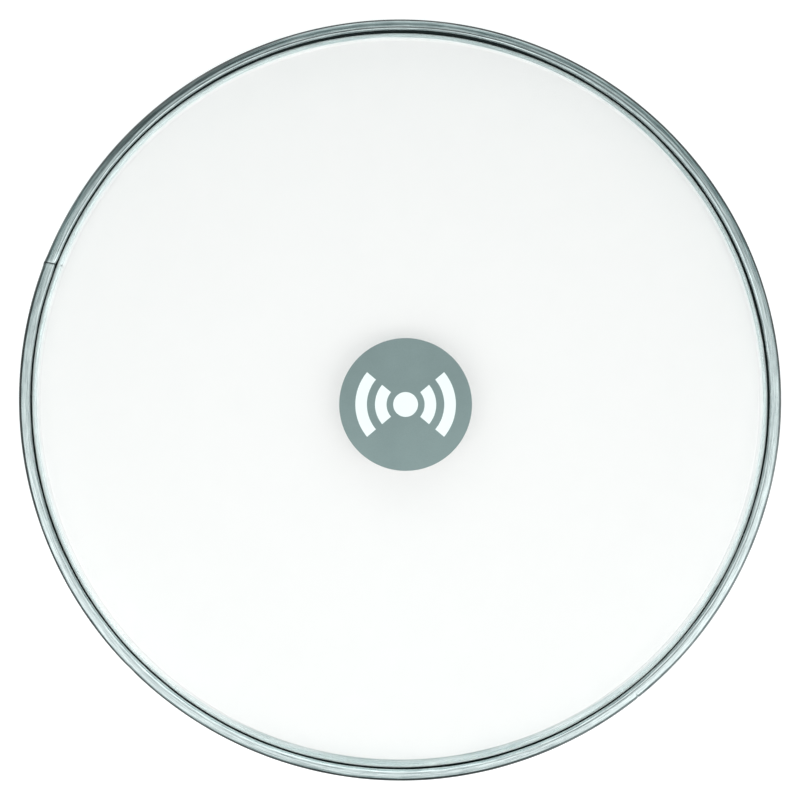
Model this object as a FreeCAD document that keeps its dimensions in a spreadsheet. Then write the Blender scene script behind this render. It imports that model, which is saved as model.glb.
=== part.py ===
import FreeCAD, Part
import os
import re
import Sketcher

# A clear 14 inch frame drum head: plastic film held in a crimped aluminium hoop.
# Frame: Z is the drum's axis, the playing face looks up along +Z, and the origin
# is the centre of the hoop's bottom plane. Lengths in millimetres, angles in degrees.

doc = FreeCAD.newDocument("FrameDrumHead")
sheet = doc.addObject("Spreadsheet::Sheet", "Dimensions")

dimensions = [
    # crimped hoop: a channel bent from one aluminium strip
    ("HoopOuterRadius", 185.0, "outside of the hoop"),
    ("HoopInnerRadius", 177.2, "bore that goes over the drum's shell"),
    ("HoopHeight", 10.0, "hoop, bottom to top"),
    ("InnerWallHeight", 7.2, "top of the wall beside the shell"),
    ("HoopSheet", 0.8, "thickness of the strip"),
    ("HoopBend", 1.2, "outside radius of the channel's bends"),
    ("LipRadius", 179.1, "edge of the lip that is crimped in over the film"),
    ("LipBottom", 7.3, "height at which the turned-down lip ends"),
    ("LipBend", 1.7, "outside radius of the lip's shoulder"),
    ("EdgeRound", 0.25, "rounding on the cut edges of the strip"),
    ("HoopSeamGap", 0.3, "gap where the strip's two ends butt together"),
    ("HoopSeamAngle", 158.6, "place of that butt seam, anticlockwise from +X"),
    # film: flat playing face, sloping collar, and a skirt folded round the locking ring
    ("FilmThickness", 0.25, "10 mil polyester"),
    ("FilmTop", 14.0, "height of the playing face"),
    ("FaceRadius", 174.2, "where the flat face turns down into the collar"),
    ("CollarFoot", 7.8, "height at which the collar turns into the skirt"),
    ("FaceBend", 2.0, "outside radius of the bend between face and collar"),
    ("FootBend", 1.5, "outside radius of the bend between collar and skirt"),
    ("FoldBend", 0.6, "inside radius of the folds under the locking ring"),
    ("FoldTop", 6.0, "height at which the folded edge of the film ends"),
    ("SkirtGap", 0.1, "air between the film and the parts beside it"),
    # locking ring: a plastic bar inside the channel, with the film folded round it
    ("RingWidth", 4.0, "radial width of the bar"),
    ("RingTop", 7.0, "top of the bar, just under the lip"),
    ("RingRound", 0.8, "rounding on the bar's four edges"),
    ("RingSeamGap", 1.0, "gap between the bar's two ends"),
    ("RingSeamAngle", -21.4, "place of that gap, away from the hoop's own seam"),
    # print on the playing face
    ("DiscRadius", 32.1, "printed disc"),
    ("DiscAcross", 2.7, "disc's centre, along +X from the drum's axis"),
    ("DiscUp", -2.1, "disc's centre, along +Y from the drum's axis"),
    ("DiscInk", 0.08, "thickness of the disc's print"),
    ("MarkInk", 0.04, "thickness of the mark's print on top of it"),
    ("DotRadius", 6.0, "dot in the middle of the mark"),
    ("NearWave", 12.0, "middle radius of the mark's two inner arcs"),
    ("FarWave", 21.5, "middle radius of the mark's two outer arcs"),
    ("WaveWidth", 5.6, "width of each arc"),
    ("WaveAngle", 80.0, "length of each arc"),
]
for row, (alias, size, meaning) in enumerate(dimensions, start=1):
    sheet.set(f"A{row}", meaning)
    sheet.set(f"B{row}", str(size))
    sheet.setAlias(f"B{row}", alias)
doc.recompute()
aliases = {alias for alias, size, meaning in dimensions}

# places that several pieces share, as expressions of the sheet
skirtInside = "HoopInnerRadius + HoopSheet + SkirtGap"
skirtOutside = "HoopInnerRadius + HoopSheet + SkirtGap + FilmThickness"
ringInside = "HoopInnerRadius + HoopSheet + 2 * SkirtGap + FilmThickness"
ringOutside = "HoopInnerRadius + HoopSheet + 2 * SkirtGap + FilmThickness + RingWidth"
ringBottom = "HoopSheet + 2 * SkirtGap + FilmThickness"
foldUnder = "HoopSheet + SkirtGap"
foldOver = "HoopSheet + SkirtGap + FilmThickness"
foldInside = "HoopInnerRadius + HoopSheet + 3 * SkirtGap + FilmThickness + RingWidth"
foldOutside = "HoopInnerRadius + HoopSheet + 3 * SkirtGap + 2 * FilmThickness + RingWidth"


def bound(expression):
    # the expression with each alias written as a cell of the sheet
    def cell(word):
        return "Dimensions." + word.group() if word.group() in aliases else word.group()

    return re.sub(r"[A-Za-z]\w*", cell, expression)


def number(expression):
    # the expression's value now, which places new geometry before it is constrained
    return float(sheet.evalExpression(bound(expression)))


def new_body(label):
    body = doc.addObject("PartDesign::Body", label)
    body.Label = label
    body.AllowCompound = True
    return body


def origin_feature(body, role):
    # one of the body's own origin planes or axes, such as XY_Plane or Z_Axis
    return [item for item in body.Origin.OriginFeatures if item.Role == role][0]


def new_sketch(body, name, plane):
    sketch = body.newObject("Sketcher::SketchObject", name)
    sketch.AttachmentSupport = (origin_feature(body, plane), [""])
    sketch.MapMode = "FlatFace"
    return sketch


def hold(sketch, geometry, point, across, up):
    # pins one point of the geometry at two sheet expressions from the sketch's origin
    for kind, axis, expression in (("DistanceX", -2, across), ("DistanceY", -1, up)):
        if expression == "0":
            sketch.addConstraint(Sketcher.Constraint("PointOnObject", geometry, point, axis))
        else:
            distance = Sketcher.Constraint(kind, -1, 1, geometry, point, number(expression))
            index = sketch.addConstraint(distance)
            sketch.setExpression(f"Constraints[{index}]", bound(expression))


def draw_outline(sketch, corners):
    # a closed outline of straight sides through corners given as (across, up)
    points = [FreeCAD.Vector(number(across), number(up), 0) for across, up in corners]
    for start, end in zip(points, points[1:] + points[:1]):
        sketch.addGeometry(Part.LineSegment(start, end), False)
    for side, (across, up) in enumerate(corners):
        before = (side - 1) % len(corners)
        sketch.addConstraint(Sketcher.Constraint("Coincident", before, 2, side, 1))
        hold(sketch, side, 1, across, up)


def draw_circle(sketch, radius):
    # a circle about the sketch's origin
    circle = Part.Circle(FreeCAD.Vector(0, 0, 0), FreeCAD.Vector(0, 0, 1), number(radius))
    geometry = sketch.addGeometry(circle, False)
    sketch.addConstraint(Sketcher.Constraint("Coincident", geometry, 3, -1, 1))
    index = sketch.addConstraint(Sketcher.Constraint("Radius", geometry, number(radius)))
    sketch.setExpression(f"Constraints[{index}]", bound(radius))


def revolve(body, name, corners, angle="360"):
    # the outline in the XZ plane, turned about the drum's axis
    sketch = new_sketch(body, name + "Sketch", "XZ_Plane")
    draw_outline(sketch, corners)
    turned = body.newObject("PartDesign::Revolution", name)
    turned.Profile = sketch
    turned.ReferenceAxis = (sketch, ["V_Axis"])
    turned.Midplane = angle != "360"
    turned.setExpression("Angle", bound(angle))
    doc.recompute()
    return turned


def round_edges(body, name, radius, places):
    # a fillet on the ring-shaped edges that run through the places, given as (radius, height)
    edges = []
    for across, up in places:
        for count, edge in enumerate(body.Tip.Shape.Edges, start=1):
            if not hasattr(edge.Curve, "Radius"):
                continue
            same_radius = abs(edge.Curve.Radius - number(across)) < 0.001
            same_height = abs(edge.Curve.Center.z - number(up)) < 0.001
            if same_radius and same_height:
                edges.append(f"Edge{count}")
    if len(edges) != len(places):
        raise RuntimeError(f"{name} found {len(edges)} edges for {len(places)} places")
    fillet = body.newObject("PartDesign::Fillet", name)
    fillet.Base = (fillet.BaseFeature, edges)
    fillet.setExpression("Radius", bound(radius))
    doc.recompute()


def cut_seam(body, name, gap, angle):
    # saws the ring through at the angle, as its strip or bar has two ends that meet
    whole = body.Shape.Volume
    sketch = new_sketch(body, name + "Sketch", "XY_Plane")
    near, far = "HoopInnerRadius - HoopSheet", "HoopOuterRadius + HoopSheet"
    left, right = f"-{gap} / 2", f"{gap} / 2"
    draw_outline(sketch, [(near, left), (far, left), (far, right), (near, right)])
    sketch.setExpression(".AttachmentOffset.Rotation.Angle", bound(angle))
    slot = body.newObject("PartDesign::Pocket", name)
    slot.Profile = sketch
    slot.Type = "ThroughAll"
    slot.Reversed = True
    doc.recompute()
    if not body.Shape.Volume < whole:
        raise RuntimeError(f"{name} cut nothing")


def make_crimped_hoop():
    body = new_body("crimped_hoop")
    wallOutside = "HoopInnerRadius + HoopSheet"
    rimInside = "HoopOuterRadius - HoopSheet"
    lipOutside = "LipRadius + HoopSheet"
    ceiling = "HoopHeight - HoopSheet"
    revolve(body, "Channel", [
        ("HoopInnerRadius", "0"),
        ("HoopOuterRadius", "0"),
        ("HoopOuterRadius", "HoopHeight"),
        ("LipRadius", "HoopHeight"),
        ("LipRadius", "LipBottom"),
        (lipOutside, "LipBottom"),
        (lipOutside, ceiling),
        (rimInside, ceiling),
        (rimInside, "HoopSheet"),
        (wallOutside, "HoopSheet"),
        (wallOutside, "InnerWallHeight"),
        ("HoopInnerRadius", "InnerWallHeight"),
    ])
    round_edges(body, "OuterBends", "HoopBend", [
        ("HoopInnerRadius", "0"), ("HoopOuterRadius", "0"), ("HoopOuterRadius", "HoopHeight"),
    ])
    round_edges(body, "InnerBends", "HoopBend - HoopSheet", [
        (rimInside, ceiling), (rimInside, "HoopSheet"), (wallOutside, "HoopSheet"),
    ])
    round_edges(body, "LipShoulder", "LipBend", [("LipRadius", "HoopHeight")])
    round_edges(body, "LipInside", "LipBend - HoopSheet", [(lipOutside, ceiling)])
    round_edges(body, "CutEdges", "EdgeRound", [
        ("LipRadius", "LipBottom"), (lipOutside, "LipBottom"),
        ("HoopInnerRadius", "InnerWallHeight"), (wallOutside, "InnerWallHeight"),
    ])
    cut_seam(body, "HoopSeam", "HoopSeamGap", "HoopSeamAngle")
    return body


def make_locking_ring():
    body = new_body("locking_ring")
    corners = [
        (ringInside, ringBottom), (ringOutside, ringBottom),
        (ringOutside, "RingTop"), (ringInside, "RingTop"),
    ]
    revolve(body, "Bar", corners)
    round_edges(body, "BarEdges", "RingRound", corners)
    cut_seam(body, "RingSeam", "RingSeamGap", "RingSeamAngle")
    return body


def make_drum_film():
    # The collar's slope is the same on both sides of the film. Where two stretches of film meet
    # at a bend, the inner side's corner lies along the bisector, a tangent of half the turn away.
    body = new_body("drum_film")
    run = f"({skirtOutside} - FaceRadius)"
    drop = "(FilmTop - CollarFoot)"
    slope = f"atan2({drop}; {run})"
    face = (f"FaceRadius - FilmThickness * tan({slope} / 2)", "FilmTop - FilmThickness")
    foot = (skirtInside, f"CollarFoot - FilmThickness * tan((90 deg - {slope}) / 2)")
    revolve(body, "Sheet", [
        ("0", "FilmTop"),
        ("FaceRadius", "FilmTop"),
        (skirtOutside, "CollarFoot"),
        (skirtOutside, foldOver),
        (foldInside, foldOver),
        (foldInside, "FoldTop"),
        (foldOutside, "FoldTop"),
        (foldOutside, foldUnder),
        (skirtInside, foldUnder),
        foot,
        face,
        ("0", "FilmTop - FilmThickness"),
    ])
    round_edges(body, "FaceBendTop", "FaceBend", [("FaceRadius", "FilmTop")])
    round_edges(body, "FaceBendUnder", "FaceBend - FilmThickness", [face])
    round_edges(body, "FootBendOut", "FootBend", [(skirtOutside, "CollarFoot")])
    round_edges(body, "FootBendIn", "FootBend - FilmThickness", [foot])
    round_edges(body, "FoldsIn", "FoldBend", [(skirtOutside, foldOver), (foldInside, foldOver)])
    round_edges(body, "FoldsOut", "FoldBend + FilmThickness", [
        (skirtInside, foldUnder), (foldOutside, foldUnder),
    ])
    return body


def place_on_disc(body, height):
    body.setExpression(".Placement.Base.x", bound("DiscAcross"))
    body.setExpression(".Placement.Base.y", bound("DiscUp"))
    body.setExpression(".Placement.Base.z", bound(height))


def pad_circle(body, name, radius, height):
    sketch = new_sketch(body, name + "Sketch", "XY_Plane")
    draw_circle(sketch, radius)
    pad = body.newObject("PartDesign::Pad", name)
    pad.Profile = sketch
    pad.setExpression("Length", bound(height))
    doc.recompute()


def make_printed_disc():
    body = new_body("printed_disc")
    pad_circle(body, "Disc", "DiscRadius", "DiscInk")
    place_on_disc(body, "FilmTop")
    return body


def make_printed_mark():
    # a dot with two arcs on each side, a plain sign for sound
    body = new_body("printed_mark")
    pad_circle(body, "Dot", "DotRadius", "MarkInk")
    waves = []
    for name in ("NearWave", "FarWave"):
        inside, outside = f"{name} - WaveWidth / 2", f"{name} + WaveWidth / 2"
        corners = [(inside, "0"), (outside, "0"), (outside, "MarkInk"), (inside, "MarkInk")]
        waves.append(revolve(body, name + "Arc", corners, "WaveAngle"))
    pattern = body.newObject("PartDesign::PolarPattern", "OtherSide")
    pattern.Originals = waves
    pattern.Axis = (origin_feature(body, "Z_Axis"), [""])
    pattern.Angle = 360
    pattern.Occurrences = 2
    body.Tip = pattern
    place_on_disc(body, "FilmTop + DiscInk")
    return body


pieces = [
    make_crimped_hoop(),
    make_locking_ring(),
    make_drum_film(),
    make_printed_disc(),
    make_printed_mark(),
]
doc.recompute()

for item in doc.Objects:
    if "Invalid" in item.State or "Error" in item.State:
        raise RuntimeError(f"{item.Name} is {item.State}")
for piece in pieces:
    if piece.Shape.isNull() or not piece.Shape.isValid():
        raise RuntimeError(f"{piece.Label} has no valid shape")

os.makedirs("parts", exist_ok=True)
for piece in pieces:
    piece.Shape.exportStep(f"parts/{piece.Label}.step")
    size = piece.Shape.optimalBoundingBox()
    print(
        f"{piece.Label}: {len(piece.Shape.Solids)} solid(s), {piece.Shape.Volume:.1f} mm3, "
        f"{size.XLength:.2f} x {size.YLength:.2f} x {size.ZLength:.2f} mm"
    )
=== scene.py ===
import math
import bpy
import numpy as np
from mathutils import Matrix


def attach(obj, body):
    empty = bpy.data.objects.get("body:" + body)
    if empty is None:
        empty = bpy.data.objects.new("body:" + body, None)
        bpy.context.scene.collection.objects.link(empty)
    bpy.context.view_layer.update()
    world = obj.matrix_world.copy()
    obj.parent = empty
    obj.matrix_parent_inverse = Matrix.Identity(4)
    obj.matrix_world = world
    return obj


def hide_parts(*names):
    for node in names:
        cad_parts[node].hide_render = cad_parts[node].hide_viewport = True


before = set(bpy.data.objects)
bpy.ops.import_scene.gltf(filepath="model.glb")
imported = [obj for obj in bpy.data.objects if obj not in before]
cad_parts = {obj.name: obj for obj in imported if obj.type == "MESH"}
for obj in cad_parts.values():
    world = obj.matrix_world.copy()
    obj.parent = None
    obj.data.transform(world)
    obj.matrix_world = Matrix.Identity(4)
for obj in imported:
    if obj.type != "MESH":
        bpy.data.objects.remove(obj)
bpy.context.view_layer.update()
print("frame loaded:", ", ".join(sorted(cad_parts)))

mm = 0.001  # the dictionaries below are in mm and degrees


# shared mesh helpers

def roundedOutline(corners):
    # closed outline from (radius, height, bend, steps) corners, each bend drawn as an arc
    points = []
    for i, (across, up, bend, steps) in enumerate(corners):
        corner = np.array((across, up), float)
        if bend == 0:
            points.append(corner)
            continue
        back = np.array(corners[i - 1][:2]) - corner
        ahead = np.array(corners[(i + 1) % len(corners)][:2]) - corner
        back = back / np.linalg.norm(back)
        ahead = ahead / np.linalg.norm(ahead)
        half = math.acos(max(-1.0, min(1.0, float(back @ ahead)))) / 2
        middle = back + ahead
        centre = corner + middle / np.linalg.norm(middle) * bend / math.sin(half)
        start = corner + back * bend / math.tan(half) - centre
        end = corner + ahead * bend / math.tan(half) - centre
        first = math.atan2(start[1], start[0])
        sweep = (math.atan2(end[1], end[0]) - first + math.pi) % (2 * math.pi) - math.pi
        for k in range(steps + 1):
            angle = first + sweep * k / steps
            points.append(centre + bend * np.array((math.cos(angle), math.sin(angle))))
    return np.array(points)


def splitRuns(points, longest, where):
    # adds points along the outline's straight runs wherever they are longer than longest
    out = []
    for a, b in zip(points, np.roll(points, -1, axis=0)):
        out.append(a)
        pace = longest if where((a + b) / 2) else math.inf
        parts = int(np.linalg.norm(b - a) // pace) + 1
        for k in range(1, parts):
            out.append(a + (b - a) * k / parts)
    return np.array(out)


def turnOutline(name, outline, angles, shape, closed=True):
    # turns the outline about Z; shape gives each point's real angle, radius and height
    rings = []
    for radius, height in outline:
        if radius < 0.001:  # on the axis: one point does
            rings.append((np.zeros(1), np.array((radius,)), np.array((height,))))
        else:
            rings.append(shape(angles, np.full_like(angles, radius), np.full_like(angles, height)))
    starts = [int(start) for start in np.cumsum([0] + [len(turn) for turn, r, z in rings])[:-1]]
    verts = np.concatenate([
        np.stack((r * np.cos(turn), r * np.sin(turn), z), axis=1) for turn, r, z in rings
    ]) * mm
    faces = []
    for i in range(len(rings)):
        j = (i + 1) % len(rings)
        pointA, pointB = len(rings[i][0]) == 1, len(rings[j][0]) == 1
        if pointA and pointB:
            continue
        for s in range(len(angles) if closed else len(angles) - 1):
            t = (s + 1) % len(angles)
            a, b = starts[i] + (0 if pointA else s), starts[i] + (0 if pointA else t)
            c, d = starts[j] + (0 if pointB else t), starts[j] + (0 if pointB else s)
            if pointA:
                faces.append((a, d, c))
            elif pointB:
                faces.append((a, c, b))
            else:
                faces.append((a, d, c, b))
    if not closed:  # cap both ends
        faces.append(tuple(starts))
        faces.append(tuple(start + len(angles) - 1 for start in reversed(starts)))
    mesh = bpy.data.meshes.new(name)
    mesh.from_pydata(verts.tolist(), [], faces)
    mesh.validate()
    mesh.shade_smooth()
    piece = bpy.data.objects.new(name, mesh)
    bpy.context.scene.collection.objects.link(piece)
    return piece


def bump(offset, width):
    # a soft hump of height 1 and the given half width
    return np.exp(-(offset / width) ** 2)


def ease(value, low, high):
    # 0 below low, 1 above high, smooth between
    t = np.clip((value - low) / (high - low), 0, 1)
    return t * t * (3 - 2 * t)


def waves(angles, rows):
    # waves round the rim from (count, height, phase) rows
    return sum(height * np.sin(count * angles + phase) for count, height, phase in rows)


def drift(angles, rows):
    # a slow change round the rim from (azimuth, shift) rows
    azimuths = [azimuth % 360 for azimuth, shift in rows]
    return np.interp(np.degrees(angles) % 360, azimuths, [shift for azimuth, shift in rows], period=360)


# shared material helpers

def newMaterial(name):
    material = bpy.data.materials.new(name)
    material.use_nodes = True
    material.node_tree.nodes.clear()
    return material


def paint(piece, material):
    piece.data.materials.clear()
    piece.data.materials.append(material)


def node(tree, kind, **settings):
    # adds a node; settings that name an input are set or linked, the others are its own properties
    made = tree.nodes.new(kind)
    for key, value in settings.items():
        if hasattr(made, key):
            setattr(made, key, value)
            continue
        socket = made.inputs[int(key[2:]) if key.startswith("in") and key[2:].isdigit() else key]
        if isinstance(value, bpy.types.NodeSocket):
            tree.links.new(value, socket)
        else:
            socket.default_value = value
    return made


def maths(tree, operation, a, b=0.0, clamp=False):
    return node(tree, "ShaderNodeMath", operation=operation, use_clamp=clamp, in0=a, in1=b).outputs[0]


def plus(tree, first, *others, clamp=False):
    for other in others:
        first = maths(tree, "ADD", first, other, clamp)
    return first


def times(tree, first, *others):
    for other in others:
        first = maths(tree, "MULTIPLY", first, other)
    return first


def without(tree, amount):
    # what is left of 1 once amount is taken away
    return maths(tree, "SUBTRACT", 1.0, amount)


def remap(tree, value, low, high, toLow, toHigh):
    made = node(tree, "ShaderNodeMapRange", in0=value, in1=low, in2=high, in3=toLow, in4=toHigh)
    return made.outputs[0]


def blend(tree, factor, dark, light):
    made = node(tree, "ShaderNodeMix", data_type="RGBA")
    tree.links.new(factor, made.inputs[0])
    made.inputs[6].default_value = dark
    made.inputs[7].default_value = light
    return made.outputs[2]


def noise(tree, vector, scale, detail, rough):
    made = node(tree, "ShaderNodeTexNoise", Vector=vector, Scale=scale, Detail=detail, Roughness=rough)
    return made.outputs[0]


def bumpFrom(tree, height, strength, deep, **normal):
    relief = node(tree, "ShaderNodeBump", Strength=strength, Distance=deep * mm, Height=height, **normal)
    return relief.outputs[0]


def place(tree):
    return node(tree, "ShaderNodeTexCoord").outputs["Object"]


def placeXYZ(tree):
    return node(tree, "ShaderNodeSeparateXYZ", in0=place(tree)).outputs[:3]


def ringRadius(tree):
    x, y = placeXYZ(tree)[:2]
    return maths(tree, "SQRT", plus(tree, times(tree, x, x), times(tree, y, y)))


def ringPlace(tree, across, around):
    # a place measured round the drum's axis: streaks run along the rim, fine across it
    x, y, z = placeXYZ(tree)
    radius = ringRadius(tree)
    cosine = times(tree, maths(tree, "DIVIDE", x, radius), around)
    sine = times(tree, maths(tree, "DIVIDE", y, radius), around)
    depth = times(tree, plus(tree, radius, z), across)
    return node(tree, "ShaderNodeCombineXYZ", X=cosine, Y=sine, Z=depth).outputs[0]


def streaks(tree, across, around, detail, rough):
    return noise(tree, ringPlace(tree, across, around), 1.0, detail, rough)


def aroundAt(tree, azimuth, reach, strength=1.0):
    # strength at that azimuth, fading to 0 at reach degrees on both sides of it
    x, y = placeXYZ(tree)[:2]
    a = math.radians(azimuth)
    along = plus(tree, times(tree, x, math.cos(a)), times(tree, y, math.sin(a)))
    cosine = maths(tree, "DIVIDE", along, ringRadius(tree))
    return node(
        tree, "ShaderNodeMapRange", interpolation_type="SMOOTHSTEP", in0=cosine,
        in1=math.cos(math.radians(reach)), in2=1.0, in3=0.0, in4=strength,
    ).outputs[0]


def acrossBand(tree, inner, outer, atInner, atOuter):
    # a value that changes between two radii
    return remap(tree, ringRadius(tree), inner * mm, outer * mm, atInner, atOuter)


def ringLine(tree, radius, solid, soft):
    # 1 within solid of that radius, fading to 0 at soft from it
    off = maths(tree, "ABSOLUTE", plus(tree, ringRadius(tree), -radius * mm))
    return remap(tree, off, solid * mm, soft * mm, 1, 0)


def finish(tree, shader):
    node(tree, "ShaderNodeOutputMaterial", Surface=shader)


# crimped hoop: one aluminium strip bent into a channel, butted at a seam

hoop = {
    # the channel
    "outerRadius": 185.0,
    "boreRadius": 177.2,
    "height": 10.0,
    "wallHeight": 7.2,
    "strip": 0.8,
    "bend": 1.2,
    "insideDrop": 0.6,
    "ridgeAt": 181.3,
    "crown": 8.6,
    "outerBend": 2.1,
    "lipRadius": 179.25,
    "lipBottom": 7.3,
    "lipBend": 1.05,
    "lipTuck": 0.2,
    "edgeRound": 0.25,
    "arcRadius": 184.0,  # lengths along the rim are measured here
    # steps of the mesh: round the rim, and across the outer bend, the crown and the lip's bend
    "segments": 1040,
    "topSteps": (14, 10, 12),
    "flatStep": 0.2,
    "seamFine": (6.0, 28),  # reach and count of the close steps
    "nickFine": (1.6, 21),
    # where the faults of the strip fade in
    "outerZone": (181.0, 184.5),
    "topZone": (8.4, 9.4),
    "lipZone": (178.6, 179.05),
    "lipEnd": (180.2, 181.2),
    "oval": 0.19,
    "ovalAt": 153.5,
    "rimWaves": [(5, 0.035, 0.8), (13, 0.02, 2.0)],
    "topWaves": [(4, 0.03, 0.5)],
    "lipWaves": [(4, 0.17, math.pi / 2), (9, 0.05, 1.1), (31, 0.03, 0.0), (58, 0.02, 2.2)],
    "lipDrift": [
        (-180, 0.0), (-140, 0.08), (-120, -0.15), (-90, -0.28), (-70, -0.05), (-55, 0.14),
        (-30, 0.05), (0, -0.08), (20, 0.0), (45, -0.17), (62, -0.08), (75, 0.20),
        (95, 0.14), (115, 0.22), (130, 0.43), (141, 0.55), (152, 0.34), (161, 0.05),
    ],
    "creaseAt": 180.9,
    "creaseDeep": 0.05,
    "creaseWide": 0.16,
    # butt seam
    "seamAt": 158.6,
    "seamGap": 0.04,
    "seamLean": 0.18,
    "leanFrom": 182.0,  # the leaning seam crosses its azimuth here
    "leanReach": 12.0,
    # how the strip's ends are bent there: (size, half width), or (size before, size behind, half width)
    "seamBulge": (0.22, 2.2),
    "seamStep": (-0.04, 0.10, 1.1),
    "seamLip": (0.30, 2.4),
    "seamRise": (-0.08, 0.05, 1.6),
    "seamGroove": (0.30, 0.25),
    # dark line in the seam: (solid, soft) distances from it, and the tone that is left in it
    "seamLine": (0.13, 0.38),
    "seamDark": 0.10,
    # dents: (azimuth, depth, half width)
    "nick": (-51.3, 0.42, 0.55),
    "nickZone": (7.0, 9.0),  # heights
    "kink": (-135.0, 0.16, 3.0),
    # metal
    "darkMetal": (0.27, 0.295, 0.30, 1),
    "lightMetal": (0.50, 0.53, 0.53, 1),
    "roughness": (0.20, 0.34),
    "cloudRoughness": (0.0, 0.07),
    # streaks of the rolls: how fine across the band and along it
    "fineLines": (4300, 11),
    "broadLines": (1700, 17),
    "scuffs": (9000, 26),
    # tone of the roll marks and painted reflection bands at each radius, 0.5 being plain
    "ringTones": [
        (180.0, 0.5), (180.45, 0.5), (180.75, 0.15), (181.05, 0.15), (181.3, 0.40), (181.6, 0.58),
        (181.95, 0.44), (182.4, 0.29), (182.8, 0.45), (183.3, 0.66), (183.7, 0.5), (184.2, 0.5),
    ],
    # roll marks, wear and painted reflections, shade and highlights: (azimuth, reach, strength), or
    # (azimuth, reach)
    # where the roll marks and painted reflection bands are strongest, and how strong they are all round
    "rolled": (82, 76, 0.88),
    "rolledAll": 0.15,  # all round
    # painted shade in the crease, on the near right
    "creaseShade": (-38, 42, 0.5),
    # painted shade: a darker reflection on the outer band at the upper left
    "shadedPatch": (127, 26, 0.62),
    # painted shade along the outer bend, standing for its dark reflection: where it is wider, and where
    # fainter
    "outerShadeWide": [(-87, 40), (178, 28), (55, 32)],
    "grimeClean": [(-35, 45), (137, 30)],
    "outerShadeStrength": (0.88, 0.45),  # full, and where it is fainter
    # painted highlight on the lip's edge on the near side, painted shade on the far side
    "lipHighlight": (-103, 62, 0.75),
    "lipShade": (50, 40, -0.2),
    "glint": (45, 42, 0.65),
    "seamGlint": (157.5, 1.3, 0.4),
    "insideTone": 2.1,
    # where the wear and the painted light lie across the band: radii, or (solid, soft) distances from a line
    "topFrom": (8.1, 8.6),  # heights
    "creaseLine": (0.08, 0.35),
    "patchFrom": (181.7, 182.2),
    "outerShadeFrom": (183.75, 183.4),  # narrow, wide
    "outerShadeSoft": 0.4,
    "lipEnds": (180.1, 180.6),
    "glintAt": 180.27,
    "glintLine": (0.1, 0.35),
    "seamGlintFrom": (179.0, 179.3),
    "seamGlintTo": (180.8, 181.5),
    "insideEnds": (178.0, 178.2),
}


def alongRim(angles, azimuth):
    # distance along the rim from that azimuth
    turned = (angles - math.radians(azimuth) + math.pi) % (2 * math.pi) - math.pi
    return turned * hoop["arcRadius"]


def hoopShape(angles, radius, height):
    # the small faults of a rolled and crimped strip
    outer = ease(radius, *hoop["outerZone"])
    topSide = ease(height, *hoop["topZone"])
    lip = ease(radius, *hoop["lipZone"]) * (1 - ease(radius, *hoop["lipEnd"]))
    lip *= ease(height, hoop["lipBottom"] - 0.05, hoop["lipBottom"])
    r, z = radius.copy(), height.copy()
    r += hoop["oval"] * np.cos(2 * (angles - math.radians(hoop["ovalAt"]))) * outer
    r += waves(angles, hoop["rimWaves"]) * outer
    r += (waves(angles, hoop["lipWaves"]) + drift(angles, hoop["lipDrift"])) * lip
    z += waves(angles, hoop["topWaves"]) * topSide
    z -= hoop["creaseDeep"] * bump(radius - hoop["creaseAt"], hoop["creaseWide"]) * topSide
    # the two ends of the strip don't quite meet
    seam = alongRim(angles, hoop["seamAt"])
    size, wide = hoop["seamBulge"]
    r += size * bump(seam, wide) * outer
    before, behind, wide = hoop["seamStep"]
    r += np.where(seam > 0, behind, before) * bump(seam, wide) * outer
    size, wide = hoop["seamLip"]
    r += size * bump(seam, wide) * lip
    before, behind, wide = hoop["seamRise"]
    z += np.where(seam > 0, behind, before) * bump(seam, wide) * topSide
    size, wide = hoop["seamGroove"]
    z -= size * bump(seam, wide) * topSide
    slant = hoop["seamLean"] * (radius - hoop["leanFrom"]) / hoop["arcRadius"]
    turn = angles + slant * bump(seam, hoop["leanReach"])
    # dents in the outer edge
    azimuth, deep, wide = hoop["nick"]
    r -= deep * bump(alongRim(angles, azimuth), wide) * outer * ease(height, *hoop["nickZone"])
    azimuth, deep, wide = hoop["kink"]
    r -= deep * bump(alongRim(angles, azimuth), wide) * outer
    return turn, r, z


def hoopAngles():
    # even steps round the rim, close ones at the seam and the nick
    seam, around = math.radians(hoop["seamAt"]), hoop["arcRadius"]
    gap = hoop["seamGap"] / around
    even = np.linspace(seam + gap / 2, seam + 2 * math.pi - gap / 2, hoop["segments"])
    reach, count = hoop["seamFine"]
    fine = np.linspace(0.0, reach / around, count)
    nick = math.radians(hoop["nick"][0])
    while nick < seam:
        nick += 2 * math.pi
    reach, count = hoop["nickFine"]
    extra = [even[0] + fine, even[-1] - fine, nick + np.linspace(-reach, reach, count) / around]
    return np.unique(np.round(np.concatenate([even] + extra), 6))


def topLine():
    # across the top from the outer wall to the lip: bend, crown, short flat, bend
    outside, ridge, top = hoop["outerRadius"], hoop["ridgeAt"], hoop["height"]
    crown, bend, tight = hoop["crown"], hoop["outerBend"], hoop["lipBend"]
    join = math.asin((outside - bend - ridge) / (crown - bend))
    middle = top - crown + (crown - bend) * math.cos(join)
    bendSteps, crownSteps, lipSteps = hoop["topSteps"]
    points = []
    for k in range(bendSteps + 1):
        t = math.pi / 2 + (join - math.pi / 2) * k / bendSteps
        points.append((outside - bend + bend * math.sin(t), middle + bend * math.cos(t), 0, 0))
    for k in range(1, crownSteps + 1):
        t = join * (1 - k / crownSteps)
        points.append((ridge + crown * math.sin(t), top - crown * (1 - math.cos(t)), 0, 0))
    for k in range(lipSteps + 1):
        t = math.pi / 2 * k / lipSteps
        across = hoop["lipRadius"] + tight - tight * math.sin(t)
        points.append((across, top - tight * (1 - math.cos(t)), 0, 0))
    return points


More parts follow.
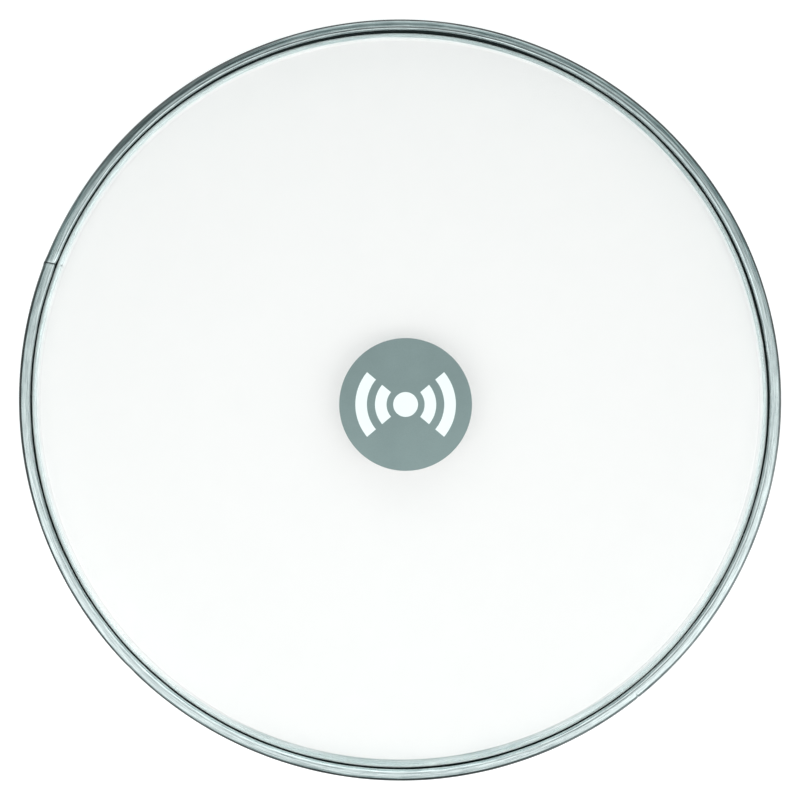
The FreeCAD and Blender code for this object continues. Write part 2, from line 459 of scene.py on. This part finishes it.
def makeHoop():
    bore, outside, top = hoop["boreRadius"], hoop["outerRadius"], hoop["height"]
    wall, rim, strip = bore + hoop["strip"], outside - hoop["strip"], hoop["strip"]
    lip, turned = hoop["lipRadius"], hoop["lipRadius"] + hoop["strip"]
    bend, small, edge = hoop["bend"], hoop["bend"] - strip, hoop["edgeRound"]
    outline = roundedOutline([
        (bore, 0, bend, 4),
        (outside, 0, bend, 4),
        *topLine(),
        (lip + hoop["lipTuck"], hoop["lipBottom"], edge, 2),
        (turned, hoop["lipBottom"], edge, 2),
        (turned, top - strip, small, 2),
        (rim, top - strip - hoop["insideDrop"], bend, 3),
        (rim, strip, small, 2),
        (wall, strip, small, 2),
        (wall, hoop["wallHeight"], edge, 3),
        (bore, hoop["wallHeight"], edge, 3),
    ])
    # close rings on the flat between ridge and lip, where the crease runs
    outline = splitRuns(outline, hoop["flatStep"], lambda p: p[1] > 9.5 and p[0] > 180)
    piece = turnOutline("aluminiumHoop", outline, hoopAngles(), hoopShape, closed=False)
    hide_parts("crimped_hoop")
    paint(piece, rolledAluminium())
    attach(piece, "root")
    print("hoop made:", len(piece.data.polygons), "faces")


def topOnly(tree):
    # 1 on the hoop's top, 0 lower down
    low, high = hoop["topFrom"]
    return remap(tree, placeXYZ(tree)[2], low * mm, high * mm, 0, 1)


def rollMarksAndReflections(tree):
    # fine dark and light rings: roll marks and painted reflection bands of a wavy cross-section, strongest
    # on the far side
    rows = hoop["ringTones"]
    low, high = rows[0][0], rows[-1][0]
    ringRamp = node(tree, "ShaderNodeValToRGB", in0=acrossBand(tree, low, high, 0, 1))
    for i, (at, value) in enumerate(rows):
        stop = ringRamp.color_ramp.elements[i] if i < 2 else ringRamp.color_ramp.elements.new(1.0)
        stop.position = (at - low) / (high - low)
        stop.color = (value, value, value, 1)
    # painted reflection bands, strongest on the far side
    ringsHere = plus(tree, aroundAt(tree, *hoop["rolled"]), hoop["rolledAll"])
    bands = times(tree, plus(tree, ringRamp.outputs[0], -0.5), 2.0, ringsHere, topOnly(tree))
    return plus(tree, bands, 1.0)


def outerBendShade(tree):
    # painted shade along the outer bend, standing for its dark reflection: wider at some azimuths, fainter
    # at others
    wide = plus(tree, *[aroundAt(tree, *wider) for wider in hoop["outerShadeWide"]], clamp=True)
    faint = plus(tree, *[aroundAt(tree, *fainter) for fainter in hoop["grimeClean"]], clamp=True)
    narrowFrom, wideFrom = hoop["outerShadeFrom"]
    start = remap(tree, wide, 0, 1, narrowFrom * mm, wideFrom * mm)
    beyond = maths(tree, "SUBTRACT", ringRadius(tree), start)
    edge = maths(tree, "MULTIPLY", beyond, 1 / (hoop["outerShadeSoft"] * mm), clamp=True)
    return times(tree, edge, topOnly(tree), remap(tree, faint, 0, 1, *hoop["outerShadeStrength"]))


def seamLine(tree):
    # 1 in the dark line of the butt seam, which leans a little across the band
    x, y = placeXYZ(tree)[:2]
    slant = math.atan(hoop["seamLean"])
    lean = math.radians(hoop["seamAt"]) + slant
    across = plus(tree, times(tree, x, -math.sin(lean)), times(tree, y, math.cos(lean)))
    across = plus(tree, across, math.sin(slant) * hoop["leanFrom"] * mm)
    solid, soft = hoop["seamLine"]
    line = remap(tree, maths(tree, "ABSOLUTE", across), solid * mm, soft * mm, 1, 0)
    return times(tree, line, maths(tree, "LESS_THAN", x, 0.0))


def lipHighlightAndShade(tree):
    # the lip's turned edge: a painted highlight on the near side, painted shade on the far side
    tone = plus(tree, aroundAt(tree, *hoop["lipHighlight"]), aroundAt(tree, *hoop["lipShade"]))
    return plus(tree, times(tree, acrossBand(tree, *hoop["lipEnds"], 1, 0), tone), 1.0)


def shoulderGlints(tree):
    # a long glint on the far side's inner shoulder and a short one beside the seam
    far = times(tree, ringLine(tree, hoop["glintAt"], *hoop["glintLine"]), aroundAt(tree, *hoop["glint"]))
    beside = acrossBand(tree, *hoop["seamGlintFrom"], 0, 1)
    beside = times(tree, beside, acrossBand(tree, *hoop["seamGlintTo"], 1, 0))
    beside = times(tree, beside, aroundAt(tree, *hoop["seamGlint"]))
    return plus(tree, far, beside, 1.0)


def hoopMarksAndPaintedLight(tree):
    # every mark of the hoop and its painted reflections, shade and highlights as one brightness, 1 being
    # plain metal
    crease = ringLine(tree, hoop["creaseAt"], *hoop["creaseLine"])
    # painted shade along the crease
    creaseShading = times(tree, crease, aroundAt(tree, *hoop["creaseShade"]))
    # painted shade on the outer band at the upper left
    patchShade = times(tree, acrossBand(tree, *hoop["patchFrom"], 0, 1), aroundAt(tree, *hoop["shadedPatch"]))
    seam = remap(tree, seamLine(tree), 0, 1, 1, hoop["seamDark"])
    inside = acrossBand(tree, *hoop["insideEnds"], hoop["insideTone"], 1.0)  # the bore's wall stayed bright
    toned = times(tree, rollMarksAndReflections(tree), without(tree, creaseShading), without(tree, patchShade))
    toned = times(tree, toned, without(tree, outerBendShade(tree)))
    return times(tree, toned, seam, lipHighlightAndShade(tree), shoulderGlints(tree), inside)


def rolledAluminium():
    material = newMaterial("rolledAluminium")
    tree = material.node_tree
    lines = streaks(tree, *hoop["fineLines"], detail=2.0, rough=0.6)
    broad = streaks(tree, *hoop["broadLines"], detail=2.0, rough=0.6)
    scuffs = streaks(tree, *hoop["scuffs"], detail=2.0, rough=0.7)
    clouds = noise(tree, place(tree), scale=60, detail=3.0, rough=0.6)
    tone = times(tree, plus(tree, lines, broad), 0.5)
    colour = blend(tree, remap(tree, tone, 0.38, 0.62, 0, 1), hoop["darkMetal"], hoop["lightMetal"])
    # the metal's colour carries the painted reflections, shade and highlights
    toned = node(tree, "ShaderNodeVectorMath", operation="SCALE", in0=colour, Scale=hoopMarksAndPaintedLight(tree)).outputs[0]
    rough = remap(tree, lines, 0.3, 0.7, *hoop["roughness"])
    rough = plus(tree, rough, remap(tree, clouds, 0.4, 0.7, *hoop["cloudRoughness"]))
    height = plus(tree, times(tree, lines, 0.6), times(tree, broad, 0.8), times(tree, scuffs, 0.25))
    relief = bumpFrom(tree, height, strength=1.0, deep=0.09)
    metal = node(tree, "ShaderNodeBsdfPrincipled", Metallic=1.0, Roughness=rough, Normal=relief)
    tree.links.new(toned, metal.inputs["Base Color"])
    finish(tree, metal.outputs[0])
    return material


# clear film: flat face, collar, skirt folded round the locking ring

film = {
    "thickness": 0.25,
    "top": 14.0,
    "faceRings": (0, 60, 120, 160, 169),  # extra rings across the flat face
    "faceRadius": 174.2,
    "collarFoot": 7.8,
    "faceBend": 2.0,
    "footBend": 1.5,
    "foldBend": 0.6,
    "foldTop": 6.0,
    "skirtInside": 178.1,
    "foldUnder": 0.9,
    "foldInside": 182.55,
    "segments": 1080,
    "collarStep": 0.9,
    # where the ripples and the drift of the foot fade in and out
    "ripplesFrom": (8.6, 10.4),
    "ripplesTo": (12.4, 13.9),
    "ripplesOutside": (170, 174),
    "footFrom": (6.9, 7.6),
    "footTo": (8.6, 10.6),
    "footOutside": (175, 177),
    "ripple": 0.10,
    "rippleWay": (0.8, 0.6),  # outward, upward
    # waves in the collar, and the slower waves that they swell and die with
    "ripples": [
        ((11, 0.45, 0.7), (0, 1, math.pi / 2)),
        ((29, 0.35, 1.9), (3, 1, 0.0)),
        ((67, 0.40, 0.3), (4, 1, 1.0)),
        ((113, 0.25, 2.6), (5, 1, 2.0)),
    ],
    "footDrift": [
        (-180, 0.36), (-150, 0.34), (-130, 0.12), (-115, 0.14), (-95, 0.06), (-80, 0.08), (-60, 0.30),
        (-45, 0.50), (-28, 0.54), (-12, 0.38), (0, 0.20), (15, 0.03), (50, 0.0), (85, -0.12),
        (100, -0.02), (112, 0.20), (125, 0.48), (140, 0.72), (150, 0.60), (160, 0.66), (170, 0.52),
    ],
    "faceTint": (0.892, 0.886, 0.884, 1),
    "collarTint": (0.97, 0.985, 0.983, 1),
    "collarShadeTint": (0.40, 0.53, 0.53, 1),
    "hazeTint": (0.90, 0.93, 0.925, 1),
    "tintEnds": (174.2, 175.6),  # radii between which the face's tint turns into the collar's
    # streaks drawn into the collar: how fine across and along, and how far they thin and thicken the haze
    "dragLines": (900, 30),
    "pullLines": (1900, 5),
    "pull": (0.3, 1.7),
    # painted shade in the collar: (azimuth, reach) and strength
    "nearSide": (-88, 50),
    "nearShade": 0.175,
    "farSide": (66, 80),
    "farShade": 0.13,
    "shadeAll": 0.01,  # all round
    "shadeDepth": 2.0,
    "shadeFrom": (175.4, 173.7),  # far side, near side
    "shadeSoft": 1 / 3,
    "shadeLow": (176.5, 177.5, 0.45),  # fainter again down here
    # painted shade: a thin darker line where the collar bends into the face
    "hairlineAt": 174.05,
    "hairlineWide": (0.08, 0.28),
    "hairline": (-72, 85, 0.05),
    "footHaze": (176.6, 177.8, 0.48),
    "haze": (0.004, 0.02),
    "roughness": (0.03, 0.08),
    "sheen": (0.04, 1.0),  # straight on, edge on
    "sheenPower": 5.0,
}


def filmShape(angles, radius, height):
    # heat-formed ripples in the collar, none at the face or in the hoop
    collar = ease(height, *film["ripplesFrom"]) * (1 - ease(height, *film["ripplesTo"]))
    collar *= ease(radius, *film["ripplesOutside"])
    ripples = sum(waves(angles, [fast]) * waves(angles, [slow]) for fast, slow in film["ripples"])
    shift = film["ripple"] * ripples * collar
    foot = ease(height, *film["footFrom"]) * (1 - ease(height, *film["footTo"]))
    foot *= ease(radius, *film["footOutside"])
    outward, upward = film["rippleWay"]
    moved = radius + outward * shift + drift(angles, film["footDrift"]) * foot
    return angles, moved, height + upward * shift


def makeFilm():
    thick, top, foot = film["thickness"], film["top"], film["collarFoot"]
    inside, outside = film["skirtInside"], film["skirtInside"] + film["thickness"]
    under, over = film["foldUnder"], film["foldUnder"] + thick
    folded, fold = film["foldInside"], film["foldBend"]
    slope = math.atan2(top - foot, outside - film["faceRadius"])
    outline = roundedOutline([
        *[(ring, top, 0, 0) for ring in film["faceRings"]],
        (film["faceRadius"], top, film["faceBend"], 10),
        (outside, foot, film["footBend"], 6),
        (outside, over, fold, 3),
        (folded, over, fold, 3),
        (folded, film["foldTop"], 0, 0),
        (folded + thick, film["foldTop"], 0, 0),
        (folded + thick, under, fold + thick, 3),
        (inside, under, fold + thick, 3),
        (inside, foot - thick * math.tan((math.pi / 2 - slope) / 2), film["footBend"] - thick, 6),
        (film["faceRadius"] - thick * math.tan(slope / 2), top - thick, film["faceBend"] - thick, 10),
        *[(ring, top - thick, 0, 0) for ring in reversed(film["faceRings"])],
    ])
    # close rings on the collar's slope, where the ripples are
    outline = splitRuns(outline, film["collarStep"], lambda p: 8 < p[1] < 13.6 and p[0] < 179)
    angles = np.linspace(0, 2 * math.pi, film["segments"], endpoint=False)
    piece = turnOutline("clearFilm", outline, angles, filmShape)
    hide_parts("drum_film")
    paint(piece, clearPolyester())
    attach(piece, "root")
    print("film made:", len(piece.data.polygons), "faces")


def shadedCollar(tree, pulled):
    # painted shade in the collar, following its drawn streaks: reaches the face's edge on the near side,
    # only low down on the far side
    nearSide, farSide = aroundAt(tree, *film["nearSide"]), aroundAt(tree, *film["farSide"])
    farFrom, nearFrom = film["shadeFrom"]
    start = remap(tree, nearSide, 0, 1, farFrom * mm, nearFrom * mm)
    below = maths(tree, "SUBTRACT", ringRadius(tree), start)
    collar = maths(tree, "MULTIPLY", below, 1 / (film["shadeSoft"] * mm), clamp=True)
    near, far = times(tree, nearSide, film["nearShade"]), times(tree, farSide, film["farShade"])
    shading = times(tree, collar, plus(tree, near, far, film["shadeAll"]), pulled)
    inner, outer, thin = film["shadeLow"]
    shading = times(tree, shading, acrossBand(tree, inner, outer, 1.0, thin))
    # painted shade: a thin darker line at the top of the collar, where it bends into the face
    line = ringLine(tree, film["hairlineAt"], *film["hairlineWide"])
    return plus(tree, shading, times(tree, line, aroundAt(tree, *film["hairline"])))


def clearPolyester():
    # see-through, a mirror-like skin that grows at low angles, haze at the collar's foot, and painted shade
    # in the collar
    material = newMaterial("clearPolyester")
    tree = material.node_tree
    haze = noise(tree, place(tree), scale=35, detail=4.0, rough=0.6)
    sag = noise(tree, place(tree), scale=9, detail=1.0, rough=0.4)
    drag = streaks(tree, *film["dragLines"], detail=2.0, rough=0.6)
    pulled = streaks(tree, *film["pullLines"], detail=3.0, rough=0.6)
    pulled = remap(tree, pulled, 0.35, 0.65, *film["pull"])
    slack = bumpFrom(tree, sag, strength=0.2, deep=0.6)
    relief = bumpFrom(tree, drag, strength=0.25, deep=0.03, Normal=slack)
    # what passes through
    clear = node(tree, "ShaderNodeBsdfTransparent")
    tint = blend(tree, acrossBand(tree, *film["tintEnds"], 0, 1), film["faceTint"], film["collarTint"])
    # painted shade in the collar darkens what passes through
    shading = times(tree, shadedCollar(tree, pulled), film["shadeDepth"])
    shaded = blend(tree, shading, (1, 1, 1, 1), film["collarShadeTint"])
    tint = node(tree, "ShaderNodeVectorMath", operation="MULTIPLY", in0=tint, in1=shaded).outputs[0]
    tree.links.new(tint, clear.inputs["Color"])
    # white haze in the sheet
    front = node(tree, "ShaderNodeBsdfDiffuse", Color=film["hazeTint"], Roughness=0.4)
    through = node(tree, "ShaderNodeBsdfTranslucent", Color=film["hazeTint"])
    white = node(tree, "ShaderNodeMixShader", in0=0.5, in1=front.outputs[0], in2=through.outputs[0])
    inner, outer, most = film["footHaze"]
    foot = times(tree, acrossBand(tree, inner, outer, 0.0, most), pulled)
    amount = plus(tree, remap(tree, haze, 0.3, 0.8, *film["haze"]), foot)
    body = node(tree, "ShaderNodeMixShader", in0=amount, in1=clear.outputs[0], in2=white.outputs[0])
    # mirror-like skin
    rough = remap(tree, haze, 0.3, 0.7, *film["roughness"])
    skin = node(tree, "ShaderNodeBsdfGlossy", Color=(1, 1, 1, 1), Roughness=rough, Normal=relief)
    lean = node(tree, "ShaderNodeLayerWeight", Blend=0.5, Normal=relief).outputs["Facing"]
    sheen = remap(tree, maths(tree, "POWER", lean, film["sheenPower"]), 0.0, 1.0, *film["sheen"])
    mixed = node(tree, "ShaderNodeMixShader", in0=sheen, in1=body.outputs[0], in2=skin.outputs[0])
    finish(tree, mixed.outputs[0])
    return material


# locking ring: black moulded bar that shows in the gap beside the lip; its near-black also paints the shade
# in that gap

ring = {
    # near-black, also standing in for the shade in the gap beside the lip
    "blackAndGapShade": (0.004, 0.008, 0.008, 1),
    "toned": (0.010, 0.017, 0.017, 1),
    "shine": 0.12,
    "roughness": (0.45, 0.65),
    "flowLines": (2500, 8),
}


def paintRing():
    material = newMaterial("blackMouldingAndGapShade")
    tree = material.node_tree
    flow = streaks(tree, *ring["flowLines"], detail=3.0, rough=0.6)
    grain = noise(tree, place(tree), scale=2600, detail=2.0, rough=0.5)
    relief = bumpFrom(tree, grain, strength=0.3, deep=0.04)
    rough = remap(tree, grain, 0.3, 0.7, *ring["roughness"])
    plastic = node(tree, "ShaderNodeBsdfPrincipled", Roughness=rough, Normal=relief)
    plastic.inputs["Specular IOR Level"].default_value = ring["shine"]
    tree.links.new(blend(tree, flow, ring["blackAndGapShade"], ring["toned"]), plastic.inputs["Base Color"])
    finish(tree, plastic.outputs[0])
    paint(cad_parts["locking_ring"], material)
    print("locking ring painted")


# screen print on the face

ink = {
    "grey": (0.162, 0.203, 0.203, 1),
    "greyThick": (0.232, 0.282, 0.280, 1),
    "greyRough": 0.5,
    "white": (0.83, 0.82, 0.82, 1),
    "whiteThick": (0.89, 0.88, 0.88, 1),
    "whiteRough": 0.45,
    "shine": 0.35,
    "weave": 18000,  # the printing mesh, in radians per metre
    "pull": 0.16,  # the ink is lighter towards the near side
}


def screenInk(name, thin, thick, roughness):
    # ink pulled through a mesh: a faint weave in its thickness and slow clouds in its tone
    material = newMaterial(name)
    tree = material.node_tree
    clouds = noise(tree, place(tree), scale=45, detail=4.0, rough=0.6)
    grain = noise(tree, place(tree), scale=1700, detail=2.0, rough=0.6)
    x, y = placeXYZ(tree)[:2]
    weaveX = maths(tree, "SINE", times(tree, x, ink["weave"]))
    weaveY = maths(tree, "SINE", times(tree, y, ink["weave"]))
    # lighter towards the near side, darker towards the far side
    pull = remap(tree, y, -34 * mm, 30 * mm, ink["pull"], -ink["pull"])
    tone = plus(tree, times(tree, clouds, 0.6), times(tree, grain, 0.4), pull)
    colour = blend(tree, remap(tree, tone, 0.2, 0.8, 0, 1), thin, thick)
    height = plus(tree, times(tree, weaveX, weaveY, 0.3), grain)
    relief = bumpFrom(tree, height, strength=0.25, deep=0.03)
    rough = remap(tree, tone, 0.3, 0.7, roughness - 0.06, roughness + 0.08)
    layer = node(tree, "ShaderNodeBsdfPrincipled", Roughness=rough, Normal=relief)
    tree.links.new(colour, layer.inputs["Base Color"])
    layer.inputs["Specular IOR Level"].default_value = ink["shine"]
    finish(tree, layer.outputs[0])
    return material


def paintPrint():
    grey = screenInk("greyInk", ink["grey"], ink["greyThick"], ink["greyRough"])
    white = screenInk("whiteInk", ink["white"], ink["whiteThick"], ink["whiteRough"])
    paint(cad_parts["printed_disc"], grey)
    paint(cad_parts["printed_mark"], white)
    print("print painted")


# studio: pale table, soft lamps all round, camera straight above

studio = {
    "tableSize": 14.0,  # metres
    "tableTone": (0.772, 0.735, 0.735, 1),
    "tableFleck": 1.02,
    "tableGlow": (0.572, 0.50),  # near side, far side
    "glowReach": 0.2,
    "sky": 0.43,
    "skyTone": (0.66, 1.0, 1.0, 1),
    "lampTone": (1.0, 0.995, 0.985, 1),
    "backdrop": 1.15,
    "backdropTone": (0.97, 0.975, 0.975, 1),
    "lampHalf": 8,
    "lampSoft": 18,
    # azimuth, elevation, brightness
    "lamps": [
        (-135, 75, 0.62),
        (-45, 75, 0.66),
        (-150, 60, 1.80),
        (-30, 60, 2.00),
        (-90, 50, 0.35),
        (-150, 42, 0.34),
        (-30, 42, 0.38),
        (90, 42, 0.40),
        (-120, 20, 0.30),
        (-60, 20, 0.30),
        (90, 20, 0.80),
        (0, 20, 1.05),
        (180, 20, 0.65),
        (60, 20, 1.20),
        (120, 20, 1.20),
    ],
    "cameraHeight": 1.3,  # metres above the hoop
    "sensorWidth": 36.0,
    "halfView": 193.92,
    "aim": (0.0, 0.06),
}


def makeTable():
    size = studio["tableSize"] / 2
    mesh = bpy.data.meshes.new("table")
    corners = [(-size, -size, 0), (size, -size, 0), (size, size, 0), (-size, size, 0)]
    mesh.from_pydata(corners, [], [(0, 1, 2, 3)])
    table = bpy.data.objects.new("table", mesh)
    bpy.context.scene.collection.objects.link(table)
    material = newMaterial("paleTable")
    tree = material.node_tree
    fleck = noise(tree, place(tree), scale=900, detail=2.0, rough=0.5)
    tone = studio["tableTone"]
    light = tuple(channel * studio["tableFleck"] for channel in tone[:3]) + (1,)
    board = node(tree, "ShaderNodeBsdfDiffuse", Roughness=0.5)
    tree.links.new(blend(tree, fleck, tone, light), board.inputs["Color"])
    reach = studio["glowReach"]
    strength = remap(tree, placeXYZ(tree)[1], -reach, reach, *studio["tableGlow"])
    glow = node(tree, "ShaderNodeEmission", Strength=strength)
    both = node(tree, "ShaderNodeAddShader", in0=board.outputs[0], in1=glow.outputs[0])
    finish(tree, both.outputs[0])
    paint(table, material)
    print("table made")


def lampGlow(tree, way, azimuth, elevation, bright):
    # a soft round lamp in the dome: full inside its half width, gone at its soft edge
    flat, rise = math.cos(math.radians(elevation)), math.sin(math.radians(elevation))
    aim = (flat * math.cos(math.radians(azimuth)), flat * math.sin(math.radians(azimuth)), rise)
    half, soft = math.radians(studio["lampHalf"]), math.radians(studio["lampSoft"])
    facing = node(tree, "ShaderNodeVectorMath", operation="DOT_PRODUCT", in0=way, in1=aim).outputs["Value"]
    return node(
        tree, "ShaderNodeMapRange", interpolation_type="SMOOTHERSTEP", in0=facing,
        in1=math.cos(half + soft), in2=math.cos(half), in3=0.0, in4=bright,
    ).outputs[0]


def makeLight():
    # one dome of light with soft lamps in it, so that the metal has something to reflect
    world = bpy.data.worlds.new("studio")
    world.use_nodes = True
    bpy.context.scene.world = world
    tree = world.node_tree
    tree.nodes.clear()
    way = node(tree, "ShaderNodeTexCoord").outputs["Generated"]
    total = plus(tree, *[lampGlow(tree, way, *lamp) for lamp in studio["lamps"]])
    lamps = node(tree, "ShaderNodeBackground", Color=studio["lampTone"], Strength=total)
    sky = node(tree, "ShaderNodeBackground", Color=studio["skyTone"], Strength=studio["sky"])
    dome = node(tree, "ShaderNodeAddShader", in0=lamps.outputs[0], in1=sky.outputs[0])
    backdrop = node(tree, "ShaderNodeBackground", Color=studio["backdropTone"], Strength=studio["backdrop"])
    seen = node(tree, "ShaderNodeLightPath").outputs["Is Camera Ray"]
    mixed = node(tree, "ShaderNodeMixShader", in0=seen, in1=dome.outputs[0], in2=backdrop.outputs[0])
    node(tree, "ShaderNodeOutputWorld", Surface=mixed.outputs[0])
    print("light made:", len(studio["lamps"]), "lamps")


def makeCamera():
    camera = bpy.data.cameras.new("overhead")
    camera.sensor_width = studio["sensorWidth"]
    camera.lens = studio["sensorWidth"] / 2 * studio["cameraHeight"] / (studio["halfView"] * mm)
    camera.clip_end = 60.0
    holder = bpy.data.objects.new("overhead", camera)
    x, y = studio["aim"]
    holder.location = (x * mm, y * mm, studio["cameraHeight"] + hoop["height"] * mm)
    bpy.context.scene.collection.objects.link(holder)
    bpy.context.scene.camera = holder
    bpy.context.scene.view_settings.view_transform = "Standard"
    print("camera made")


makeCamera()
makeTable()
makeLight()
makeHoop()
makeFilm()
paintRing()
paintPrint()
